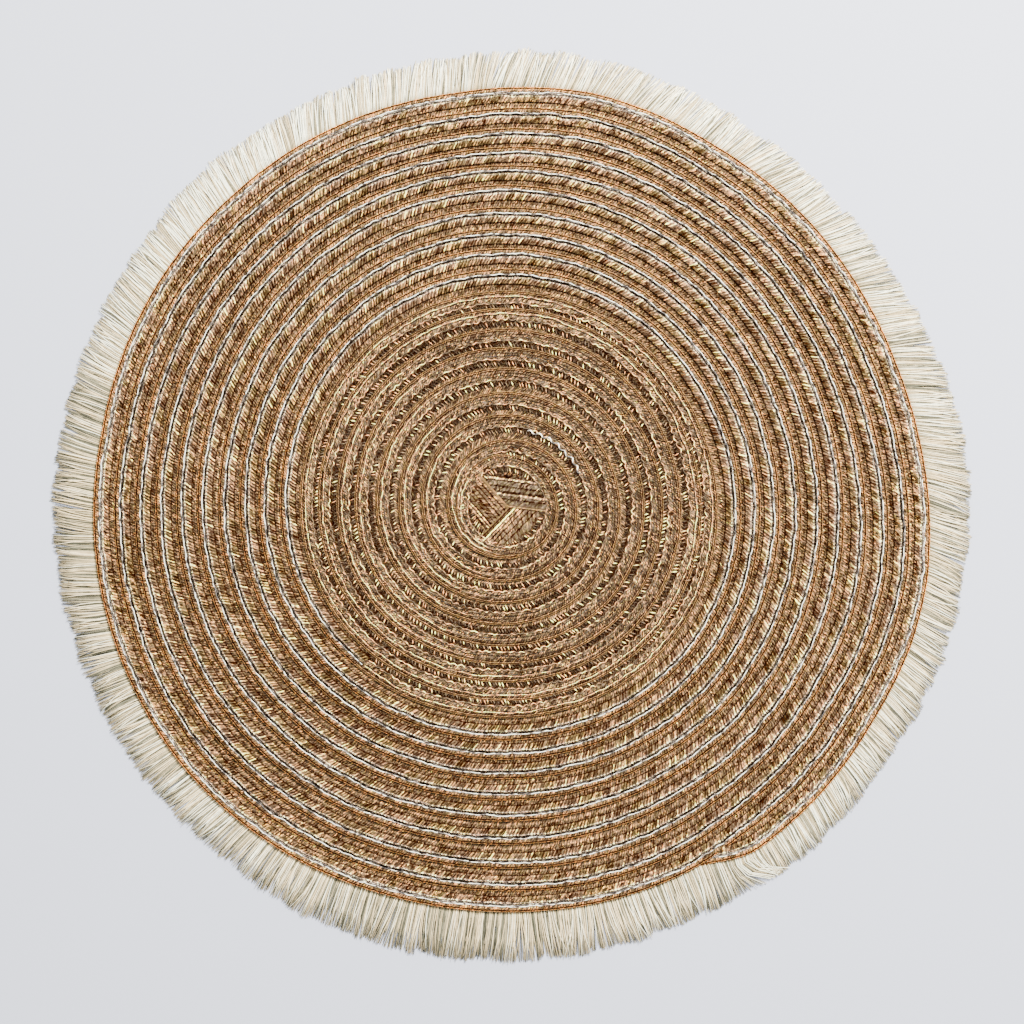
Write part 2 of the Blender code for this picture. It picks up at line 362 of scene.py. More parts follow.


# Across the outer tape: millimetres from its selvage, brightness. The dark strip at 6.4 to 6.9 mm,
# at the inner foot of the cord, is partly a dark yarn and partly painted shade under the cord.
OUTER_BRIGHTNESS = (
    (0, 180), (0.28, 182), (0.34, 28), (0.78, 28), (0.86, 172), (1.2, 144), (1.9, 132), (2.7, 124),
    (3.5, 104), (3.64, 214), (3.96, 210), (4.08, 164), (5.3, 144), (6.2, 154), (6.38, 84),
    (6.7, 74), (6.86, 122), (7.6, 114), (8.3, 162), (8.6, 140), (13, 140),
)

# Across the inner tape. The dark ground at 5.6 to 7.6 mm is partly the ground's own brown and
# partly painted shade under the looping yarns.
INNER_BRIGHTNESS = (
    (0, 164), (0.36, 160), (0.42, 46), (0.72, 46), (0.8, 172), (1.1, 160), (1.18, 40), (1.48, 40),
    (1.56, 124), (2.6, 114), (3.2, 151), (3.5, 156), (4.2, 144), (4.6, 118), (5.2, 114), (5.6, 78),
    (6.9, 54), (7.6, 78), (8.2, 148), (8.6, 134), (9.1, 128), (9.5, 146), (13, 160),
)

# Across the three panels of the folded start, which show the tape at its full width.
FOLD_BRIGHTNESS = (
    (
        (0, 190), (0.35, 180), (0.5, 124), (2.6, 130), (2.8, 72), (3.3, 72), (3.5, 128),
        (4.5, 124), (4.7, 198), (5.3, 186), (5.5, 70), (6.4, 68), (6.6, 132), (7.7, 126),
        (7.9, 70), (8.4, 70), (8.6, 136), (10.3, 122), (10.5, 62), (10.8, 62), (11, 214),
        (11.6, 202), (11.8, 70), (13.2, 84),
    ),
    (
        (0, 172), (0.9, 160), (1, 92), (1.15, 158), (1.8, 150), (1.95, 54), (2.3, 54), (2.45, 146),
        (3.5, 150), (3.65, 70), (4, 70), (4.15, 138), (5, 132), (5.15, 60), (5.5, 60), (5.65, 140),
        (6.7, 136), (6.85, 72), (7.2, 72), (7.35, 128), (8.3, 122), (8.45, 62), (8.8, 62),
        (8.95, 132), (9.9, 122), (10.05, 44), (10.5, 44), (10.7, 204), (11.1, 190), (11.3, 44),
        (12.1, 206), (12.7, 54),
    ),
    (
        (0, 156), (0.5, 142), (0.6, 34), (0.95, 34), (1.05, 116), (1.6, 104), (1.7, 28),
        (1.95, 28), (2.02, 285), (2.5, 285), (2.6, 26), (2.95, 26), (3.05, 176), (3.8, 160),
        (3.95, 52), (4.25, 52), (4.4, 180), (5.2, 154), (5.35, 58), (5.7, 58), (5.85, 142),
        (7, 134), (7.15, 56), (7.5, 56), (7.65, 138), (9.2, 122), (9.4, 54), (9.8, 54), (10, 122),
        (13.2, 92),
    ),
)
print("selvage brown:", np.round(brown(150.0), 3))


# %% [markdown]
# A small helper adds nodes and joins them, which keeps each material to a few readable lines.

# %% Node helpers
RAMP_SPAN_MM = 13.3


class Nodes:
    """A material's nodes, added one at a time with their inputs."""

    def __init__(self, name):
        self.material = bpy.data.materials.new(name)
        self.material.use_nodes = True
        self.tree = self.material.node_tree
        self.shader = self.tree.nodes["Principled BSDF"]
        self.shader.inputs["Roughness"].default_value = 1.0
        self.shader.inputs["Specular IOR Level"].default_value = 0.0

    def set_input(self, node, key, value):
        if isinstance(value, bpy.types.NodeSocket):
            self.tree.links.new(value, node.inputs[key])
        else:
            node.inputs[key].default_value = value

    def add(self, kind, inputs=None, output=0, **settings):
        node = self.tree.nodes.new(kind)
        for key, value in settings.items():
            setattr(node, key, value)
        for key, value in (inputs or {}).items():
            self.set_input(node, key, value)
        return node.outputs[output]

    def split(self, vector):
        """The first two numbers of a vector or colour."""
        node = self.tree.nodes.new("ShaderNodeSeparateXYZ")
        self.tree.links.new(vector, node.inputs[0])
        return node.outputs[0], node.outputs[1]

    def uv_numbers(self):
        return self.split(self.add("ShaderNodeUVMap", uv_map="tape"))

    def tape_place(self):
        """Millimetres along the tape and in from its selvage, from the UV map."""
        along, across = self.uv_numbers()
        return self.times(along, 1000.0), self.times(across, 1000.0)

    def math(self, operation, first, second=0.0, third=0.0):
        return self.add("ShaderNodeMath", {0: first, 1: second, 2: third}, operation=operation)

    def times(self, first, second):
        return self.math("MULTIPLY", first, second)

    def plane(self, first, second):
        """A flat place for a texture, from two numbers."""
        return self.add("ShaderNodeCombineXYZ", {0: first, 1: second})

    def add_up(self, *parts):
        total = parts[0]
        for part in parts[1:]:
            total = self.math("ADD", total, part)
        return total

    def spread(self, value, low, high, to_low, to_high):
        inputs = {"Value": value, "From Min": low, "From Max": high,
                  "To Min": to_low, "To Max": to_high}
        return self.add("ShaderNodeMapRange", inputs)

    def ramp(self, value, rows):
        """A colour ramp from rows of place (0 to 1) and linear colour."""
        node = self.tree.nodes.new("ShaderNodeValToRGB")
        self.tree.links.new(value, node.inputs[0])
        stops = node.color_ramp.elements
        while len(stops) < len(rows):
            stops.new(0.5)
        for stop, (place, colour) in zip(stops, rows):
            stop.position = place
        for stop, (place, colour) in zip(stops, rows):
            stop.color = colour
        return node.outputs[0]

    def brightness_across(self, across_mm, rows):
        """Brightness from 0 to 255 by the place across the tape."""
        place = self.math("DIVIDE", across_mm, RAMP_SPAN_MM)
        greys = [(row[0] / RAMP_SPAN_MM, (row[1] / 255.0,) * 3 + (1.0,)) for row in rows]
        return self.times(self.ramp(place, greys), 255.0)

    def brown_ramp(self, brightness, plain=0.0):
        place = self.math("DIVIDE", brightness, 255.0)
        return self.ramp(place, [(value / 255.0, brown(float(value), plain))
                                 for value in (10, 30, 50, 75, 100, 125, 150, 175, 200, 225, 245)])

    def noise(self, vector, scale, detail=2.0, roughness=0.6):
        return self.add("ShaderNodeTexNoise", {"Vector": vector, "Scale": scale,
                                               "Detail": detail, "Roughness": roughness})

    def flecks(self, along, across, long_mm, wide_mm):
        """Small flecks side by side, each with two random numbers of its own."""
        place = self.plane(self.math("DIVIDE", along, wide_mm),
                           self.math("DIVIDE", across, long_mm))
        return self.split(self.add("ShaderNodeTexVoronoi", {"Vector": place, "Scale": 1.0}, 1))

    def beside_lines(self, across_mm, base, brightness):
        """Let a brown base turn nearly grey where the white and black lines run."""
        share = self.times(self.spread(across_mm, 1.5, 2.1, 0.0, 1.0),
                           self.spread(across_mm, 3.9, 4.5, 0.65, 0.0))
        return self.blend("MIX", share, base, self.brown_ramp(brightness, 0.7))

    def tint(self, base, share):
        """Shift a colour a little between olive and rose, by a share from 0 to 1."""
        shift = self.ramp(share, ((0.0, (0.96, 1.03, 0.72, 1.0)), (0.5, (1.0, 1.0, 1.0, 1.0)),
                                  (1.0, (1.03, 0.975, 1.05, 1.0))))
        return self.blend("MULTIPLY", 1.0, base, shift)

    def blend(self, mode, share, first, second):
        node = self.tree.nodes.new("ShaderNodeMix")
        node.data_type = "RGBA"
        node.blend_type = mode
        self.set_input(node, 0, share)
        self.set_input(node, 6, first)
        self.set_input(node, 7, second)
        return node.outputs[2]

    def finish(self, base, height, bump_mm, strength=0.7):
        self.set_input(self.shader, "Base Color", base)
        bump = self.add("ShaderNodeBump", {"Height": height, "Strength": strength,
                                           "Distance": bump_mm * MM})
        self.set_input(self.shader, "Normal", bump)
        return self.material


# %% [markdown]
# The tape's cloth: the table across gives each yarn its own brightness, and slanting stitches,
# small flecks where a yarn of the weave comes up, a fine grain and a slow change of tone are
# added. A picture of cloth could be laid on instead, but this never repeats and stays sharp.
# The same stitches drive the bump, so light and colour agree.

# %% The woven tape's material
SELVAGE_GOLD = (1.07, 0.955, 0.78, 1.0)


def make_tape_material(name, table, stitch_mm, slant, depth=1.0, stray_mm=0.18, rim_light=0.0,
                       stitch_depth=26.0, with_lines=False, plain=0.0):
    nodes = Nodes(name)
    along, across = nodes.tape_place()
    plane = nodes.plane(along, across)
    stray = nodes.spread(nodes.noise(plane, 0.5), 0.3, 0.7, -stray_mm, stray_mm)
    yarn = nodes.brightness_across(nodes.math("ADD", across, stray), table)

    slanted = nodes.math("MULTIPLY_ADD", across, -slant, along)
    slanted = nodes.math("MULTIPLY_ADD", nodes.noise(plane, 0.3), 2.2, slanted)
    stitch = nodes.math("SINE", nodes.times(slanted, 2.0 * math.pi / stitch_mm))
    grain = nodes.noise(nodes.plane(slanted, across), 1.0, 3.0, 0.75)
    fleck, hue = nodes.flecks(slanted, across, 1.25, 0.62)
    past_selvage = nodes.spread(across, 0.7, 1.5, 0.35, 1.0)
    patch = nodes.noise(plane, 0.02, 2.0)
    first_turn = 1000.0 * length_at(1.0)
    weave = nodes.add_up(
        nodes.spread(stitch, -0.8, 0.8, -stitch_depth, stitch_depth),
        nodes.spread(grain, 0.36, 0.64, -26.0 * depth, 26.0 * depth),
        nodes.spread(fleck, 0.0, 1.0, -54.0 * depth, 54.0 * depth),
    )
    brightness = nodes.add_up(
        yarn,
        nodes.times(past_selvage, weave),
        nodes.spread(patch, 0.3, 0.7, -12.0, 12.0),
        nodes.spread(along, first_turn - 160.0, first_turn + 40.0, rim_light, 0.0),
    )
    base = nodes.brown_ramp(brightness, plain)
    if with_lines:
        base = nodes.beside_lines(across, base, brightness)
    base = nodes.tint(base, hue)
    golden = nodes.spread(across, 0.8, 1.4, 1.0, 0.0)
    base = nodes.blend("MULTIPLY", golden, base, SELVAGE_GOLD)
    height = nodes.add_up(nodes.times(stitch, stitch_depth / 52.0), grain,
                          nodes.times(fleck, 0.8))
    return nodes.finish(base, height, 0.2, 0.8)


outer_tape_cloth = make_tape_material("outer_tape_cloth", OUTER_BRIGHTNESS, 1.15, 0.5,
                                      rim_light=20.0, with_lines=True)
inner_tape_cloth = make_tape_material("inner_tape_cloth", INNER_BRIGHTNESS, 1.1, 0.8, 1.1,
                                      plain=0.08)
folded_cloths = [
    make_tape_material(f"folded_cloth_{number + 1}", table, 1.2, 0.6, 1.1, 0.22,
                       stitch_depth=4.0, plain=(0.22, 0.0, 0.06)[number])
    for number, table in enumerate(FOLD_BRIGHTNESS)
]
print("tape materials:", 2 + len(folded_cloths))


# %% [markdown]
# A yarn that is modelled as a piece of its own takes its tone from its UV, so one material
# serves light and dark stitches alike.

# %% Material of the modelled yarns
def make_toned_yarn(name, darkest, palest, grain_mm=0.9, grain_depth=30.0, hues=(0.0, 1.0),
                    plain=0.0):
    """A yarn whose UV's first number, 0 to 1, sets its brightness between the two given."""
    nodes = Nodes(name)
    tone, along = nodes.uv_numbers()
    place = nodes.add("ShaderNodeTexCoord", output=3)
    grain = nodes.noise(place, 1000.0 / grain_mm, 3.0, 0.7)
    hue = nodes.noise(place, 500.0, 1.0)
    brightness = nodes.add_up(nodes.spread(tone, 0.0, 1.0, darkest, palest),
                              nodes.spread(grain, 0.3, 0.7, -grain_depth, grain_depth))
    base = nodes.tint(nodes.brown_ramp(brightness, plain),
                      nodes.spread(hue, 0.35, 0.65, *hues))
    return nodes.finish(base, grain, 0.12)


white_yarn = make_toned_yarn("white_yarn", 150.0, 275.0, 0.9, 65.0, (0.5, 0.9), 0.8)
black_yarn = make_toned_yarn("black_yarn", 28.0, 225.0, 0.8, 80.0, (0.4, 1.0), 0.75)
stitch_yarn = make_toned_yarn("stitch_yarn", 70.0, 220.0, hues=(0.0, 0.8))
wrap_yarn = make_toned_yarn("wrap_yarn", 60.0, 192.0, hues=(0.1, 0.9))
cream_yarn = make_toned_yarn("cream_yarn", 92.0, 246.0, hues=(0.3, 0.9), plain=0.25)
tan_yarn = make_toned_yarn("tan_yarn", 70.0, 190.0, hues=(0.0, 0.9), plain=0.2)
brown_yarn = make_toned_yarn("brown_yarn", 80.0, 180.0, hues=(0.1, 0.8), plain=0.15)

# %% [markdown]
# ## The outer tape
# Its section, from the selvage inwards: the golden selvage yarns, a dark line, the ground under
# a row of stitches and under a white and a black yarn, the bed of a ribbed cord, a groove, and
# the plain part that the next turn laps over. A flat ribbon with a bump would do from far off,
# but only true heights throw the shadow that sets each turn apart.

# %% Section of the outer tape
# Round the section: millimetres in from the selvage, height, share of the wander.
SELVAGE = ((0, 1.7, 0.1), (0.12, 2.38, 0.1), (0.42, 2.48, 0.1))
UNDERSIDE = ((12.6, 1.1, 0), (12.6, 0.02, 0), (5.2, 0.02, 0), (4.5, 1.24, 0), (0.1, 1.3, 0),
             (0, 1.7, 0.1))
OUTER_SECTION = SELVAGE + (
    (0.64, 2.2, 0.2),  # dark line
    (0.9, 2.34, 0.2), (1.9, 2.3, 0.7),  # ground of the stitches
    (3.46, 2.14, 1),  # ground of the white and black yarns
    (6.8, 1.66, 0.3),  # bed of the cord
    (7.6, 1.62, 0), (8.6, 1.24, 0),  # groove
) + UNDERSIDE
WANDER_MM = 0.38
RISE_MM = 0.08


def tape_wander(along):
    """How far the white and black yarns stray sideways, in metres."""
    slow = wobble(along, 7.0 * MM, 11)
    quick = wobble(along, 2.6 * MM, 12)
    return (0.6 * slow + 0.55 * quick) * WANDER_MM * MM


def make_tape(name, section, first_turn, last_turn, step, cloth, seed):
    """A straight tape with the section given, wound onto the coil."""
    start, end = length_at(first_turn), length_at(last_turn)
    steps = round((end - start) / step)
    item, place, row = grid_strip(name, steps, section)
    across, height, share = np.array(section)[row].T
    across, height = across * MM, height * MM
    along = start + (end - start) * place / steps
    stray = share * tape_wander(along)
    rise = wobble(along + 3.0 * across, 5.0 * MM, seed) * RISE_MM * MM
    rise = np.where(height > 2.0 * MM, rise, 0.0)
    set_points(item, wind(np.stack([along, -across - stray, height + rise], axis=1)))
    set_uv(item, along, across)
    close_tube(item)
    shade_smooth(item)
    print(name, "is", round(end - start, 3), "m long")
    return finish_piece(item, cloth), end - start


outer_tape, outer_length = make_tape("outer_tape", OUTER_SECTION, -0.006, SPLICE_TURN,
                                     3.0 * MM, outer_tape_cloth, 21)

# %% [markdown]
# ## The ribbed cord
# The highest part of the outer tape is a cord with slanting ribs, one every millimetre and a
# half, edged by a thin white yarn. Ribs could be one small shape in an array, but one long grid
# is lighter: it has two steps for each rib, one on the rib and one between ribs, and each row
# across is shifted along a little more than the last, which slants the ribs. It is cut into two
# lengths, which only keeps each mesh small.

# %% Sizes and material of the cord
RIB_PITCH = 1.45 * MM
LUMP_MM = 4.4
RIB_SLANT = 0.60
RIB_RISE = 0.24 * MM
RIB_SPREAD = 0.16 * MM
# Round the cord: millimetres in from the selvage, height, share of the rib's rise, of its spread.
CORD_SECTION = (
    (3.42, 2.1, 0, -0.2), (3.68, 2.58, 0.3, -1), (4.05, 2.44, 0.6, -0.4), (4.7, 2.76, 1, 0),
    (5.6, 2.82, 1, 0), (6.2, 2.56, 0.9, 0.4), (6.65, 1.95, 0.3, 1), (5, 1.55, 0, 0),
    (3.42, 2.1, 0, -0.2),
)


def make_cord_material():
    """Ribs darkened between their crests, partly dark seams and partly painted shade in the
    troughs, in lumps of a few ribs that each have a tint and a cream border.
    """
    nodes = Nodes("ribbed_cord_yarn")
    along, across = nodes.tape_place()
    plane = nodes.plane(along, across)
    yarn = nodes.brightness_across(across, OUTER_BRIGHTNESS)
    shift = nodes.math("SUBTRACT", across, CORD_SECTION[0][0])
    slanted = nodes.math("MULTIPLY_ADD", shift, -RIB_SLANT, along)
    strayed = nodes.math("MULTIPLY_ADD", nodes.noise(plane, 0.7), 0.9, slanted)
    rib = nodes.math("DIVIDE", strayed, RIB_PITCH / MM)
    number = nodes.math("FLOOR", nodes.math("ADD", rib, 0.5))
    tone = nodes.add("ShaderNodeTexWhiteNoise", {"W": number}, noise_dimensions="1D")
    crest = nodes.math("COSINE", nodes.times(rib, 2.0 * math.pi))
    strand = nodes.math("COSINE", nodes.times(rib, 4.0 * math.pi))
    on_cord = nodes.spread(across, 3.75, 4.1, 0.75, 1.0)
    fleck, hue = nodes.flecks(slanted, across, 1.1, 0.55)
    grain = nodes.noise(plane, 1.6, 3.0, 0.7)
    lump = nodes.math("DIVIDE", strayed, LUMP_MM)
    lump_tone, lump_hue = nodes.split(nodes.add("ShaderNodeTexVoronoi", {"W": lump, "Scale": 1.0},
                                                1, voronoi_dimensions="1D"))
    from_border = nodes.add("ShaderNodeTexVoronoi", {"W": lump, "Scale": 1.0}, 0,
                            voronoi_dimensions="1D", feature="DISTANCE_TO_EDGE")
    border = nodes.times(nodes.spread(from_border, 0.04, 0.12, 1.0, 0.0),
                        nodes.spread(lump_tone, 0.0, 1.0, 10.0, 90.0))
    second_turn = 1000.0 * length_at(2.0)
    outer_share = nodes.spread(along, second_turn - 200.0, second_turn + 300.0, 1.0, 0.0)
    ribs = nodes.add_up(
        # Darker between rib crests and between the strands of each rib: partly dark seams, partly
        # painted shade in the troughs.
        nodes.spread(crest, -1.0, -0.2, -60.0, 6.0),
        nodes.spread(strand, -1.0, 0.6, -50.0, 18.0),
        nodes.spread(tone, 0.0, 1.0, -26.0, 26.0),
        border,
    )
    mottle = nodes.add_up(
        nodes.spread(fleck, 0.0, 1.0, -50.0, 50.0),
        nodes.spread(grain, 0.3, 0.7, -26.0, 26.0),
    )
    pattern = nodes.add_up(
        nodes.times(ribs, nodes.spread(outer_share, 0.0, 1.0, 1.0, 0.45)),
        nodes.times(mottle, nodes.spread(outer_share, 0.0, 1.0, 1.0, 1.5)),
        nodes.spread(lump_tone, 0.0, 1.0, -16.0, 12.0),
        nodes.times(outer_share, -8.0),
    )
    brightness = nodes.math("MULTIPLY_ADD", pattern, on_cord, yarn)
    hue = nodes.add_up(nodes.times(hue, 0.45), nodes.times(lump_hue, 0.9),
                       -0.24)
    base = nodes.beside_lines(across, nodes.brown_ramp(brightness), brightness)
    base = nodes.tint(base, hue)
    height = nodes.add_up(crest, nodes.times(grain, 0.7), fleck)
    return nodes.finish(base, height, 0.15)


# %% Ribbed cord
def make_cord(name, first_turn, last_turn, seed):
    ribs_before = math.ceil(length_at(first_turn) / RIB_PITCH)
    rib_count = math.floor(length_at(last_turn) / RIB_PITCH) - ribs_before
    item, place, row = grid_strip(name, 2 * rib_count, CORD_SECTION)
    section = np.array(CORD_SECTION)[row]
    across = section[:, 0] * MM
    on_rib = 1.0 - 2.0 * (place % 2)
    slant = RIB_SLANT * (across - CORD_SECTION[0][0] * MM)
    along = ribs_before * RIB_PITCH + 0.5 * RIB_PITCH * place + slant
    strength = 1.0 + 0.7 * wobble(along, 2.0 * RIB_PITCH, seed)
    rise = (on_rib * strength - 0.5) * section[:, 2] * RIB_RISE
    swell = wobble(along, 6.0 * MM, seed + 1) * 0.16 * MM * section[:, 2]
    spread = on_rib * strength * section[:, 3] * RIB_SPREAD
    lengthways = wobble(along, 3.5 * MM, seed + 2) * 0.40 * MM
    stray = tape_wander(along) * np.clip((6.8 - section[:, 0]) / 3.0, 0.2, 1.0)
    straight = np.stack([along + lengthways, -across - spread - stray,
                         section[:, 1] * MM + rise + swell], axis=1)
    set_points(item, wind(straight))
    set_uv(item, along, across)
    close_tube(item)
    shade_smooth(item, 75.0)
    print(name, "has", rib_count, "ribs")
    return finish_piece(item, cord_yarn)


cord_yarn = make_cord_material()
CORD_CUT_TURN = 3.95
outer_cord = make_cord("ribbed_cord_outer_turns", 0.004, CORD_CUT_TURN, 31)
inner_cord = make_cord("ribbed_cord_inner_turns", CORD_CUT_TURN, SPLICE_TURN, 41)

# %% [markdown]
# ## Yarns that run along the tape
# A yarn is a thin tube along a path, which is written in the tape's straight coordinates and
# wound with the rest. The white and black yarns of the outer tape and the cream and dark ones
# of the inner tape wander, and rise and dip where they pass over and under the weft. A bevelled
# curve would make a tube too, but points are wound onto the coil like the rest.

# %% Tubes along a path
YARN_SIDES = 3


def tube_rings(path, radius, sides):
    """Rings of points round a path of points. Returns an array of ring by side by XYZ."""
    ahead = np.gradient(path, axis=0)
    ahead /= np.linalg.norm(ahead, axis=1, keepdims=True)
    side = np.cross(np.array([0.0, 0.0, 1.0]), ahead)
    side /= np.maximum(np.linalg.norm(side, axis=1, keepdims=True), 1e-9)
    top = np.cross(ahead, side)
    angles = np.radians(90.0) + 2.0 * np.pi * np.arange(sides) / sides
    radius = np.broadcast_to(np.asarray(radius, float), (len(path),))[:, None, None]
    around = np.cos(angles)[None, :, None] * side[:, None, :]
    around = around + np.sin(angles)[None, :, None] * top[:, None, :]
    return path[:, None, :] + radius * around


def tube_faces(rings, sides):
    """Faces of one tube with closed ends."""
    faces = [tuple(reversed(range(sides)))]
    for ring in range(rings - 1):
        low, high = ring * sides, (ring + 1) * sides
        for number in range(sides):
            after = (number + 1) % sides
            faces.append((low + number, low + after, high + after, high + number))
    last = (rings - 1) * sides
    faces.append(tuple(last + number for number in range(sides)))
    return faces


def join_copies(name, faces, copies):
    """One mesh of many copies of a small shape. copies is an array of copy by point by XYZ."""
    count, size = copies.shape[:2]
    corner_total = np.tile([len(face) for face in faces], count)
    corners = np.concatenate([np.array(face) for face in faces])
    vertex = (np.arange(count)[:, None] * size + corners[None, :]).ravel()
    mesh = bpy.data.meshes.new(name)
    mesh.vertices.add(count * size)
    mesh.vertices.foreach_set("co", np.asarray(copies, np.float32).ravel())
    mesh.loops.add(len(vertex))
    mesh.loops.foreach_set("vertex_index", vertex.astype(np.int32))
    mesh.polygons.add(len(corner_total))
    starts = np.concatenate([[0], np.cumsum(corner_total)[:-1]])
    mesh.polygons.foreach_set("loop_start", starts.astype(np.int32))
    mesh.update(calc_edges=True)
    mesh.validate()
    mesh.shade_smooth()
    return add_object(name, mesh)


# %% Yarns that follow the tape
def make_running_yarn(name, turns, step_mm, across_mm, radius_mm, height_mm, material, seed,
                      tone, rim_tone=None, fading=False):
    """A yarn that follows the tape's wander. across_mm may be a function of the place.

    A fading yarn keeps its tone past CREAM_TURN only on the side of the mat at CREAM_SIDE.
    """
    start, end = length_at(turns[0]), length_at(turns[1])
    along = np.linspace(start, end, round((end - start) / (step_mm * MM)))
    across = across_mm(along) if callable(across_mm) else across_mm
    across = across + 0.20 * wobble(along, 1.4 * MM, seed + 3)
    beads = wobble(along, 1.2 * MM, seed)
    radius = radius_mm * MM * (1.0 + 0.30 * beads)
    height = height_mm + 0.09 * wobble(along, 2.1 * MM, seed + 1)
    path = np.stack([along, -across * MM - tape_wander(along), height * MM], axis=1)
    wound = wind(tube_rings(path, radius, YARN_SIDES).reshape(-1, 3))
    item = join_copies(name, tube_faces(len(path), YARN_SIDES), wound[None, :, :])
    place = np.repeat(along, YARN_SIDES)
    share = 0.5 + 0.5 * wobble(place, 1.4 * MM, seed + 2)
    tones = tone[0] + (tone[1] - tone[0]) * share
    if rim_tone is not None:
        on_rim = place < length_at(1.0)
        tones = np.where(on_rim, rim_tone[0] + (rim_tone[1] - rim_tone[0]) * share, tones)
    if fading:
        from_side = np.radians(TAPE_END_ANGLE + 360.0 * turn_at(place) - CREAM_SIDE)
        hidden = smooth_share(0.9 - 1.3 * np.cos(from_side))
        tones = tones - 0.85 * hidden * smooth_share((turn_at(place) - CREAM_TURN) / 0.3)
    set_uv(item, tones, place)
    return finish_piece(item, material)


OUTER_TURNS = (0.004, SPLICE_TURN)
INNER_END_TURN = 18.97
INNER_TURNS = (SPLICE_TURN + 0.002, 18.9)
CREAM_TURN = 11.9
CREAM_SIDE = 185.0


def dark_line_across(along):
    """The dark yarn runs further in once the cream yarn beside it has ended."""
    return 2.98 + 0.66 * smooth_share((turn_at(along) - 11.6) / 0.8)


white_line = make_running_yarn("white_line", OUTER_TURNS, 0.9, 2.34, 0.26, 2.46, white_yarn, 101,
                               tone=(0.0, 1.5))
black_line = make_running_yarn("black_line", OUTER_TURNS, 1.0, 2.94, 0.27, 2.40, black_yarn, 111,
                               tone=(-0.5, 0.85), rim_tone=(0.4, 1.0))
cream_line = make_running_yarn("cream_line", INNER_TURNS, 1.0, 2.42, 0.25, 2.44, cream_yarn, 121,
                               tone=(0.6, 1.25), fading=True)
dark_line = make_running_yarn("dark_line", INNER_TURNS, 1.0, dark_line_across, 0.17, 2.44,
                              black_yarn, 131, tone=(-0.1, 0.60))


# %% [markdown]
# ## Grains: stitches, wraps and lobes
# Between the running yarns sit rows of grains: the slanting stitches of the twill, the wraps in
# the groove that tie the turns together, and the lobes of the inner tape. One grain is modelled
# and copied all along the row. An Array modifier would make all copies alike, so arrays of
# numbers do it here, which give each copy its own size, place and tone.

# %% One grain
def model_grain(segments, rings):
    """A ball with its underside cut away, as points and faces."""
    deselect_all()
    bpy.ops.mesh.primitive_uv_sphere_add(segments=segments, ring_count=rings, radius=1.0)
    item = bpy.context.object
    set_mode("EDIT")
    bpy.ops.mesh.bisect(plane_co=(0.0, 0.0, -0.25), plane_no=(0.0, 0.0, 1.0),
                        clear_inner=True, use_fill=True)
    set_mode("OBJECT")
    points = get_points(item)
    faces = [tuple(face.vertices) for face in item.data.polygons]
    bpy.data.objects.remove(item, do_unlink=True)
    return points, faces


def lay_grains(name, turns, spacing_mm, across_mm, half_mm, slant, base_mm, grain, material,
               seed, scatter_mm=0.12, wander=0.5):
    """A row of grains along the tape. half_mm: half length across, half width along, height."""
    points, faces = grain
    draw = np.random.default_rng(seed)
    start, end = length_at(turns[0]), length_at(turns[1])
    count = int((end - start) / (spacing_mm * MM))
    along = start + (np.arange(count) + 0.5 + draw.uniform(-0.22, 0.22, count)) * spacing_mm * MM
    across = across_mm * MM + draw.uniform(-1.0, 1.0, count) * scatter_mm * MM
    across = across + wander * tape_wander(along)
    size = draw.uniform(0.72, 1.18, (count, 3)) * np.array(half_mm) * MM
    lean = slant + draw.uniform(-0.18, 0.18, count)
    inwards = points[None, :, 1] * size[:, None, 0]
    lengthways = points[None, :, 0] * size[:, None, 1] + inwards * lean[:, None]
    height = base_mm * MM + points[None, :, 2] * size[:, None, 2]
    straight = np.stack([along[:, None] + lengthways, -across[:, None] - inwards, height], axis=2)
    wound = wind(straight.reshape(-1, 3)).reshape(straight.shape)
    mirrored = [tuple(reversed(face)) for face in faces]
    item = join_copies(name, mirrored, wound)
    tone = 0.5 + 0.25 * wobble(along, 12.0 * MM, seed + 1) + draw.uniform(-0.6, 0.6, count)
    set_uv(item, np.repeat(np.clip(tone, 0.0, 1.0), len(points)), np.tile(points[:, 2], count))
    return finish_piece(item, material)


small_grain = model_grain(4, 3)
round_grain = model_grain(6, 4)
print("points in a grain:", len(small_grain[0]), len(round_grain[0]))

# %% [markdown]
# Each row has its own spacing, place across the tape, grain size and slant, judged from the photo.

# %% Rows of grains
twill_stitches = lay_grains("twill_stitches", OUTER_TURNS, 1.10, 1.58, (0.70, 0.34, 0.40), 0.7,
                            2.38, small_grain, stitch_yarn, 141)
groove_wraps = lay_grains("groove_wraps", OUTER_TURNS, 1.55, 7.60, (0.66, 0.40, 0.46), 0.6,
                          1.72, small_grain, wrap_yarn, 151, 0.30, 0.1)
inner_stitches = lay_grains("inner_stitches", INNER_TURNS, 1.25, 2.40, (0.80, 0.32, 0.40), 0.8,
                            2.30, small_grain, wrap_yarn, 161, 0.2)
inner_lobes = lay_grains("inner_lobes", INNER_TURNS, 2.4, 3.95, (0.60, 0.85, 0.36), 0.3,
                         2.20, round_grain, tan_yarn, 171, 0.25, 0.8)
ladder_rungs = lay_grains("ladder_rungs", INNER_TURNS, 1.6, 7.00, (1.30, 0.36, 0.46), -0.5,
                          2.10, small_grain, cream_yarn, 181, 0.35, 0.2)
